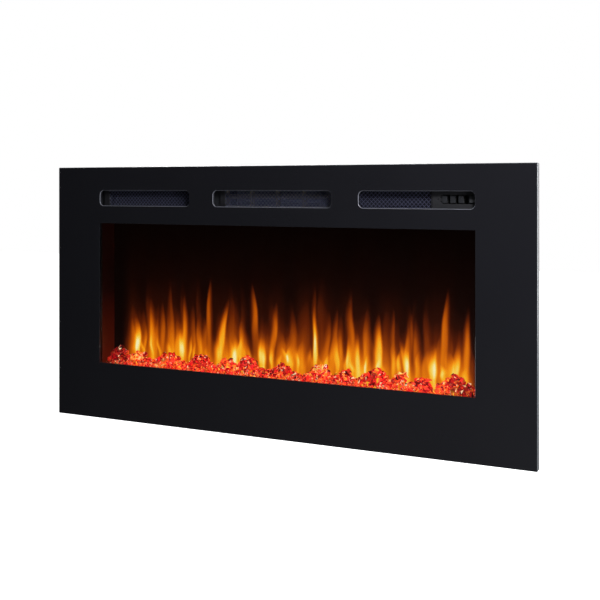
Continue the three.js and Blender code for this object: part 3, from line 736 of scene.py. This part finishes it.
# The main flames, in millimetres: foot x, tip x, tip z, half-width, strength, where along its
# height each is brightest, and which side has the sharper edge.
FLAMES = [
    (-309, -312, -38, 8.5, 0.86, 0.34, 1),
    (-272, -276, -6, 8.5, 0.55, 0.42, -1),
    (-253, -253, -10, 6.5, 0.30, 0.50, 1),
    (-233, -236, 32, 7.0, 0.22, 0.62, 1),
    (-208, -213, -58, 7.5, 0.88, 0.34, -1),
    (-203, -202, 10, 6.5, 0.34, 0.55, -1),
    (-187, -186, -10, 8.0, 0.34, 0.45, 1),
    (-168, -171, -28, 8.5, 0.46, 0.35, -1),
    (-152, -149, 36, 7.5, 0.48, 0.72, -1),
    (-131, -111, 3, 8.0, 0.70, 0.46, 1),
    (-97, -98, -64, 8.0, 0.78, 0.30, 1),
    (-82, -81, -30, 9.5, 0.56, 0.40, -1),
    (-56, -62, 32, 9.0, 0.56, 0.68, 1),
    (-40, -40, -58, 10.5, 0.93, 0.28, -1),
    (-26, -12, 0, 7.5, 0.48, 0.55, 1),
    (15, 17, -68, 8.5, 0.72, 0.30, -1),
    (18, 12, 14, 9.0, 0.20, 0.45, 1),
    (62, 62, -2, 5.8, 0.90, 0.40, -1),
    (60, 58, 42, 6.5, 0.24, 0.60, 1),
    (96, 101, 0, 6.5, 0.36, 0.52, 1),
    (102, 101, -54, 5.5, 0.72, 0.36, 1),
    (127, 125, 30, 9.5, 0.46, 0.48, 1),
    (124, 124, -52, 6.0, 0.82, 0.36, -1),
    (141, 138, -40, 5.5, 0.60, 0.36, 1),
    (159, 160, 8, 8.0, 0.30, 0.45, -1),
    (176, 178, -8, 9.0, 0.78, 0.44, 1),
    (203, 204, 2, 4.5, 0.32, 0.62, 1),
    (207, 206, -56, 8.0, 0.56, 0.36, -1),
    (231, 215, -48, 8.0, 0.74, 0.36, -1),
    (230, 231, 12, 8.0, 0.28, 0.50, 1),
    (247, 246, -8, 7.5, 0.36, 0.45, -1),
    (272, 271, -52, 10.5, 0.90, 0.30, 1),
    (292, 300, 37, 8.0, 0.58, 0.62, -1),
    (308, 318, -54, 8.0, 0.86, 0.36, 1),
    (328, 334, 12, 7.0, 0.56, 0.52, 1),
]
FLAME_WIDTH = 1.22  # how much wider the main flames are drawn than their half-widths say

# Fainter flames between them: how many, and the spans of their height and half-width in
# millimetres and of their strength.
FAINT_FLAMES = (
    (34, (80, 170), (8, 15), (0.06, 0.22)),
    (44, (40, 112), (5, 10), (0.14, 0.36)),
    (36, (22, 52), (4, 8.5), (0.25, 0.70)),
)
FAINT_SPAN = (-348, 356)

# The even glow behind the flames: strength, reach in millimetres and how sharply it ends.
GLOWS = ((0.42, 42, 1.3), (0.19, 135, 2))

# The picture's ends, in millimetres: its middle, half its width and the width of the fade.
PICTURE_MIDDLE = 5
PICTURE_HALF = 350
PICTURE_FADE = 26
PICTURE_DARK = 0.06  # the share of the heat that is left past the ends


def ease(value):
    """A smooth step for values from 0 to 1."""
    return value * value * (3 - 2 * value)


def smooth_noise(random, u, v, scale_u, scale_v):
    """Smooth random values from 0 to 1 over the points u and v."""
    gu, gv = u / scale_u, v / scale_v
    gu, gv = gu - gu.min(), gv - gv.min()
    table = random.random((int(gu.max()) + 3, int(gv.max()) + 3))
    iu, iv = gu.astype(int), gv.astype(int)
    fu, fv = ease(gu - iu), ease(gv - iv)
    low = table[iu, iv] * (1 - fu) + table[iu + 1, iv] * fu
    high = table[iu, iv + 1] * (1 - fu) + table[iu + 1, iv + 1] * fu
    return low * (1 - fv) + high * fv


def tongue(u, v, foot, tip, height, width, peak, crisp, sway):
    """How strongly one flame covers each point: a leaf that narrows to its tip and foot.

    foot and tip are places across, height and width are sizes, peak is the share of the height
    where it is brightest, crisp is the side of its sharper edge, and sway is how far it bends.
    """
    s = np.clip(v / height, 0, 1)
    bend = sway * np.sin(foot + s * 5.2) * s * (1 - s)
    center = foot + (tip - foot) * s**1.3 + bend
    foot_width, belly, taper, thinnest = 0.7, 1.65, 0.72, 0.4
    half = width * (foot_width + belly * s) * (1 - s) ** taper + thinnest
    across = (u - center) / half * crisp
    sharp = np.clip((1 - across) * 1.9, 0, 1)
    soft = np.clip((1 + across) * 0.75, 0, 1)
    body = ease(sharp) * ease(soft)
    reach_up, reach_down = 0.43, 0.5
    reach = np.where(s > peak, reach_up, reach_down)
    fade = np.exp(-(((s - peak) / reach) ** 2)) * (1 - s**5)
    return np.where(v <= height, body * fade, 0.0)


def flame_heat(u, v):
    """The heat at each point, with u across and v above the flames' foot, in millimetres."""
    random = np.random.default_rng(41)
    u = u + 3.2 * (smooth_noise(random, u, v, 30, 44) - 0.5) * np.clip(v / 60, 0.2, 1.4)
    rise = np.maximum(v, 0)
    cloud = 0.6 + 0.8 * smooth_noise(random, u, v, 22, 80)
    glow = sum(share * np.exp(-((rise / reach) ** power)) for share, reach, power in GLOWS) * cloud
    cold = 1 - np.clip(glow, 0, 0.9)
    left, right = FAINT_SPAN
    for count, heights, widths, strengths in FAINT_FLAMES:
        for k in range(count):
            x = left + (right - left) * (k + 0.5 + random.uniform(-0.45, 0.45)) / count
            cover = tongue(
                u,
                v,
                x,
                x + random.uniform(-9, 9),
                random.uniform(*heights),
                random.uniform(*widths),
                random.uniform(0.25, 0.55),
                random.choice((-1, 1)),
                random.uniform(2, 12),
            )
            cold *= 1 - random.uniform(*strengths) * cover
    for foot, tip, top, half_width, strength, peak, crisp in FLAMES:
        height = top - FLAME_FOOT / MM
        width = half_width * FLAME_WIDTH
        sway = random.uniform(2, 9)
        cold *= 1 - strength * tongue(u, v, foot, tip, height, width, peak, crisp, sway)
        # A smaller, brighter core in each flame.
        middle = (foot + tip) / 2
        core = tongue(u, v, foot, middle, height * 0.62, width * 0.55, peak, -crisp, sway)
        cold *= 1 - 0.58 * strength * strength * core
    heat = (1 - cold) * (0.94 + 0.12 * smooth_noise(random, u, v, 4.2, 60))
    ends = np.clip((PICTURE_HALF - np.abs(u - PICTURE_MIDDLE)) / PICTURE_FADE, 0, 1)
    return np.clip(heat, 0, 1) * (PICTURE_DARK + (1 - PICTURE_DARK) * ease(ends))


def ramp_colors(values, stops):
    """Linear colours for values from 0 to 1, from (value, display colour) stops."""
    places = [place for place, _ in stops]
    colors = np.array([srgb(code) for _, code in stops])
    return np.stack([np.interp(values, places, colors[:, c]) for c in range(3)], axis=-1)


def set_colors(mesh, name, colors, domain):
    """Gives each point or corner of a mesh a colour under a name."""
    attribute = mesh.attributes.new(name, "FLOAT_COLOR", domain)
    full = np.ones((len(colors), 4), np.float32)
    full[:, :3] = colors
    attribute.data.foreach_set("color", full.ravel())


def make_flame_picture():
    """The smoked screen as a fine grid that carries the flame picture in its vertex colours."""
    x = np.arange(SCREEN_LOW.x, SCREEN_HIGH.x + FLAME_STEP / 2, FLAME_STEP)
    z = np.arange(SCREEN_LOW.z, SCREEN_HIGH.z + FLAME_STEP / 2, FLAME_STEP)
    x[-1], z[-1] = SCREEN_HIGH.x, SCREEN_HIGH.z
    grid_x, grid_z = np.meshgrid(x, z, indexing="ij")
    columns, rows = grid_x.shape
    front = np.stack([grid_x, np.full_like(grid_x, SCREEN_LOW.y), grid_z], axis=-1).reshape(-1, 3)
    index = np.arange(columns * rows).reshape(columns, rows)
    quads = np.stack([index[:-1, :-1], index[1:, :-1], index[1:, 1:], index[:-1, 1:]], axis=-1)
    rim = [*index[:, 0], *index[-1, 1:], *index[-2::-1, -1], *index[0, -2:0:-1]]
    back = front[rim] + np.array([0, SCREEN_HIGH.y - SCREEN_LOW.y, 0])
    vertices = np.concatenate([front, back])
    faces = [tuple(int(i) for i in q) for q in quads.reshape(-1, 4)]
    start = len(front)
    for k in range(len(rim)):
        j = (k + 1) % len(rim)
        faces.append((int(rim[j]), int(rim[k]), start + k, start + j))
    faces.append(tuple(start + k for k in range(len(rim)))[::-1])
    piece = add_piece("flame_picture", vertices, faces, "chassis", "flame_screen", "flame_screen")
    piece.data.materials.append(MATERIALS["flame"])
    above = (front[:, 2] - FLAME_FOOT) / MM
    heat = flame_heat(front[:, 0] / MM, above)
    colors = ramp_colors(heat, FLAME_COLORS)
    # The picture fades out towards the firebox's top.
    colors *= np.clip(1.25 - above / 330, 0.4, 1)[:, None]
    full = np.zeros((len(vertices), 3))
    full[: len(front)] = colors
    set_colors(piece.data, "picture", full, "POINT")


# ------------------------------------------------------------------ crystals

# The stones' colours, used for their own tint and, brighter, for their painted glow.
STONE_COLORS = [
    "5a0408",
    "8e080e",
    "c01014",
    "dc1c1c",
    "ee3028",
    "fb4a28",
    "ff6a24",
    "ff902c",
    "ffa45c",
    "ffb834",
    "ffd870",
]

STONE_COUNT = 1100
STONE_RADIUS = (4.2, 7.6)  # in millimetres
CHIP_COUNT = 1500
CHIP_RADIUS = (1.2, 2.8)
GLINT_SHARE = 0.04  # of the facets, whose glow is a painted glint


def stone_shapes(random, count=16, points=16):
    """Irregular broken-glass shapes, each the convex hull of scattered points, as triangles."""
    shapes = []
    for _ in range(count):
        cloud = random.normal(size=(points, 3))
        cloud /= np.linalg.norm(cloud, axis=1)[:, None]
        jitter = random.uniform(0.72, 1.08, size=(points, 1))
        cloud *= jitter * random.uniform(0.7, 1.15, size=(1, 3))
        shape = bmesh.new()
        for point in cloud:
            shape.verts.new(point)
        hull = bmesh.ops.convex_hull(shape, input=shape.verts)
        loose = [g for g in hull["geom_interior"] if isinstance(g, bmesh.types.BMVert)]
        bmesh.ops.delete(shape, geom=loose, context="VERTS")
        bmesh.ops.triangulate(shape, faces=shape.faces)
        shape.verts.index_update()
        vertices = np.array([v.co for v in shape.verts])
        faces = np.array([[v.index for v in f.verts] for f in shape.faces])
        shape.free()
        shapes.append((vertices, faces))
    return shapes


def random_turn(random):
    """A rotation matrix from a random unit quaternion."""
    quaternion = random.normal(size=4)
    w, x, y, z = quaternion / np.linalg.norm(quaternion)
    return np.array(
        [
            [1 - 2 * (y * y + z * z), 2 * (x * y - z * w), 2 * (x * z + y * w)],
            [2 * (x * y + z * w), 1 - 2 * (x * x + z * z), 2 * (y * z - x * w)],
            [2 * (x * z - y * w), 2 * (y * z + x * w), 1 - 2 * (x * x + y * y)],
        ]
    )


# The heaps of stones, in millimetres: x, height above the window's lower edge, half-width, and
# how far their colour runs from red (0) towards amber (1).
MOUNDS = [
    (-338, 31, 17, 0.0),
    (-296, 24, 14, 0.9),
    (-231, 26, 19, 0.5),
    (-162, 29, 15, 0.2),
    (-106, 26, 13, 0.7),
    (-65, 30, 17, 0.3),
    (1, 23, 14, 0.1),
    (76, 28, 16, 0.9),
    (118, 23, 13, 0.3),
    (176, 29, 18, 0.4),
    (222, 27, 13, 0.7),
    (265, 23, 15, 0.3),
    (315, 29, 18, 0.5),
]
VALLEY = (12.5, 0.5)  # height and colour between the heaps

END_DIMMING = (290 * MM, 385 * MM)  # painted shade: the bed's glow is darker at its ends than in its middle
END_LIGHT = 0.35


def mound(x):
    """The height and colour of the heaped stones at x."""
    u = x / MM
    height, warm = VALLEY
    for center, top, width, color in MOUNDS:
        share = math.exp(-(((u - center) / width) ** 4))
        height = max(height, VALLEY[0] + (top - VALLEY[0]) * share)
        warm += (color - VALLEY[1]) * share
    return height, min(max(warm, 0.0), 1.0)


def make_crystals():
    """Loose broken glass heaped in the tray, with fine chips along its front edge."""
    random = np.random.default_rng(7)
    shapes = stone_shapes(random)
    palette = np.array([srgb(code) for code in STONE_COLORS])
    front, back = BED_LOW.y + 3 * MM, BED_HIGH.y - 4 * MM
    left, right = BED_LOW.x + 5 * MM, BED_HIGH.x - 5 * MM
    foot = WINDOW["z"][0]
    all_vertices, all_faces, all_glow, all_tint = [], [], [], []
    total = 0

    def place(center, size, bright, warm):
        """Adds one stone, whose facets take their colours from round one place in the palette, each
        with a painted glow of random brightness.
        """
        nonlocal total
        vertices, faces = shapes[random.integers(len(shapes))]
        turned = (vertices * size) @ random_turn(random).T + np.array(center)
        all_vertices.append(turned)
        all_faces.append(faces + total)
        total += len(turned)
        middle = random.normal(2.5 + 6.2 * warm, 1.1)
        picks = np.clip(random.normal(middle, 1.6, len(faces)), 0, len(palette) - 1).astype(int)
        # the glow is painted darker towards the bed's ends, and lighter or darker on each facet at
        # random
        ends = (END_DIMMING[1] - abs(center[0])) / (END_DIMMING[1] - END_DIMMING[0])
        light = bright * min(max(ends, END_LIGHT), 1.0) * random.uniform(0.3, 1.5, len(faces))
        glow = palette[picks] * light[:, None]
        # painted glints: a few facets get a pale highlight colour as their glow
        glint = random.random(len(faces)) < GLINT_SHARE
        glow[glint] = np.array(srgb("ffd8a8")) * random.uniform(0.7, 1.1)
        all_glow.append(np.repeat(glow, 3, axis=0))
        all_tint.append(np.repeat(palette[picks] * 0.6, 3, axis=0))

    for _ in range(STONE_COUNT):
        x = random.uniform(left, right)
        depth = random.random()
        y = front + (back - front) * depth
        height, warm = mound(x)
        size = random.uniform(*STONE_RADIUS) * MM
        surface = foot + height * (0.55 + 0.45 * depth) * MM
        z = surface - size * 0.75 - random.uniform(0, 7) * MM
        place((x, y, z), size, random.uniform(0.6, 1.25), warm * random.uniform(0.2, 1.0))
    for _ in range(CHIP_COUNT):
        x = random.uniform(left, right)
        y = front + random.uniform(-1.5, 3) * MM
        z = foot + random.uniform(-4, 4) * MM
        size = random.uniform(*CHIP_RADIUS) * MM
        place((x, y, z), size, random.uniform(0.7, 1.2), random.uniform(0.1, 0.5))

    vertices = np.concatenate(all_vertices)
    faces = np.concatenate(all_faces)
    mesh = bpy.data.meshes.new("crystal_stones")
    mesh.from_pydata(vertices.tolist(), [], faces.tolist())
    mesh.update()
    set_colors(mesh, "glow", np.concatenate(all_glow), "CORNER")
    set_colors(mesh, "tint", np.concatenate(all_tint), "CORNER")
    mesh.materials.append(MATERIALS["crystal"])
    piece = bpy.data.objects.new("crystal_stones", mesh)
    bpy.context.scene.collection.objects.link(piece)
    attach(piece, "chassis")
    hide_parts("crystal_bed")


# ------------------------------------------------------------------ heating coil


def make_heating_wire():
    """The heater's wire: two wound runs, one above the other, joined at the right."""
    low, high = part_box("heating_coil")
    coil_radius = 3.6 * MM
    pitch = 3.2 * MM
    steps_per_turn = 10
    start = low.x + 2 * MM
    turns = int((high.x - low.x - 16 * MM) / pitch)
    end = start + pitch * turns
    y = (low.y + high.y) / 2
    runs = (low.z + 5.9 * MM, high.z - 5.9 * MM)
    wire = Builder()
    for z in runs:
        points = []
        for k in range(turns * steps_per_turn + 1):
            angle = 2 * math.pi * k / steps_per_turn
            x = start + pitch * k / steps_per_turn
            points.append((x, y + coil_radius * math.cos(angle), z + coil_radius * math.sin(angle)))
        tube(wire, points, 0.45 * MM, 5)
    link = [
        (end, y + coil_radius, runs[0]),
        (end + 7 * MM, y, runs[0] + 3 * MM),
        (end + 9 * MM, y, (runs[0] + runs[1]) / 2),
        (end + 7 * MM, y, runs[1] - 3 * MM),
        (end, y + coil_radius, runs[1]),
    ]
    tube(wire, link, 0.6 * MM, 6)
    wire.piece(
        "heating_wire",
        "chassis",
        "nichrome",
        "heating_coil",
        materials=[MATERIALS["nichrome"]],
        smooth_angle=60,
    )


# ------------------------------------------------------------------ stage


def make_world():
    """White behind the object, and a dim room with light from above and the right round it."""
    world = bpy.data.worlds.new("room")
    world.use_nodes = True
    bpy.context.scene.world = world
    nodes, links = world.node_tree.nodes, world.node_tree.links
    nodes.clear()
    out = nodes.new("ShaderNodeOutputWorld")
    seen = nodes.new("ShaderNodeBackground")
    seen.inputs["Color"].default_value = (1, 1, 1, 1)
    room = nodes.new("ShaderNodeBackground")
    mix = nodes.new("ShaderNodeMixShader")
    path = nodes.new("ShaderNodeLightPath")
    place = nodes.new("ShaderNodeTexCoord")
    axes = nodes.new("ShaderNodeSeparateXYZ")
    links.new(place.outputs["Generated"], axes.inputs["Vector"])

    def span(axis, start, end, low, high):
        """A strength that goes smoothly from low to high between two directions."""
        node = map_range(world.node_tree, axes.outputs[axis], (start, end), (low, high))
        node.interpolation_type = "SMOOTHSTEP"
        return node.outputs["Result"]

    def combine(kind, a, b):
        node = nodes.new("ShaderNodeMath")
        node.operation = kind
        links.new(a, node.inputs[0])
        links.new(b, node.inputs[1])
        return node.outputs["Value"]

    above = span("Z", 0.2, 0.9, 0.0, 0.4)
    right = span("X", 0.25, 0.9, 0.0, 0.35)
    behind = span("Y", 0.0, 0.7, 0.0, 0.6)
    below = span("Z", -0.05, -0.3, 0.0, 0.12)
    front_right = span("X", -0.75, -0.25, 0.2, 1.0)
    floor_light = combine("MULTIPLY", below, front_right)
    total = combine("ADD", combine("MAXIMUM", above, right), combine("MAXIMUM", behind, floor_light))
    links.new(total, room.inputs["Strength"])
    room.inputs["Color"].default_value = (0.95, 0.97, 1.0, 1)
    links.new(path.outputs["Is Camera Ray"], mix.inputs["Fac"])
    links.new(room.outputs["Background"], mix.inputs[1])
    links.new(seen.outputs["Background"], mix.inputs[2])
    links.new(mix.outputs["Shader"], out.inputs["Surface"])


COOL_WHITE = (0.97, 0.98, 1.0)
WHITE = (1.0, 1.0, 1.0)

# Each light: name, place, what it is aimed at, size, watts and colour.
LIGHTS = (
    ("key", (0.98, -0.72, 1.0), (0.3, -0.1, 0.1), (0.3, 0.3), 24, COOL_WHITE),
    ("side", (1.9, -0.7, -0.5), (0.0, -0.1, 0.0), (0.3, 0.5), 14, COOL_WHITE),
    ("rear", (-1.3, 1.9, 1.3), (0.0, 0.0, 0.0), (1.2, 1.2), 60, WHITE),
    ("rear_fill", (1.6, 1.6, 0.2), (0.0, 0.0, 0.0), (1.0, 1.0), 25, WHITE),
)


def make_lights():
    for name, place, aim, size, watts, color in LIGHTS:
        light = bpy.data.lights.new(name, "AREA")
        light.shape = "RECTANGLE"
        light.size, light.size_y = size
        light.energy = watts
        light.color = color
        lamp = bpy.data.objects.new(name, light)
        lamp.location = place
        lamp.rotation_euler = (Vector(aim) - Vector(place)).to_track_quat("-Z", "Y").to_euler()
        bpy.context.scene.collection.objects.link(lamp)


def make_floor():
    """A pale floor below the fireplace, lit to white."""
    z = -0.85  # the fireplace hangs above it
    reach = 12.0
    mesh = bpy.data.meshes.new("floor")
    corners = [(-reach, -reach, z), (reach, -reach, z), (reach, reach, z), (-reach, reach, z)]
    mesh.from_pydata(corners, [], [(0, 1, 2, 3)])
    floor = bpy.data.objects.new("floor", mesh)
    bpy.context.scene.collection.objects.link(floor)
    shader = Shader("floor_paint", (0.9, 0.9, 0.9), 0.9)
    shader.vary_color(3, 0.01)
    shader.set("Emission Color", (1, 1, 1, 1)).set("Emission Strength", 1.0)
    mesh.materials.append(shader.surface)
    floor.visible_glossy = False
    floor.visible_diffuse = False
    floor.visible_transmission = False


CAMERA_AZIMUTH = math.radians(28.92)
CAMERA_PLACE = (0.9572, GLASS_LOW.y - 1.6291, 0.1918)
CAMERA_LENS = 67.86
CAMERA_SHIFT = (-0.0003, -0.1877)


def make_camera():
    """A level camera to the right of the fireplace, whose shift keeps the verticals upright."""
    camera = bpy.data.cameras.new("camera")
    camera.sensor_width = 36
    camera.lens = CAMERA_LENS
    camera.shift_x, camera.shift_y = CAMERA_SHIFT
    camera.clip_start = 0.01
    holder = bpy.data.objects.new("camera", camera)
    holder.location = CAMERA_PLACE
    holder.rotation_euler = (math.pi / 2, 0, CAMERA_AZIMUTH)
    bpy.context.scene.collection.objects.link(holder)
    bpy.context.scene.camera = holder


# ------------------------------------------------------------------ build

bpy.context.scene.view_settings.view_transform = "Standard"
bpy.context.scene.view_settings.look = "None"

make_camera()
make_world()
make_lights()
make_floor()
dress_cad_nodes()
make_front_glass()
for grille in SLOTS:
    make_grille(grille)
make_flame_picture()
make_crystals()
make_heating_wire()
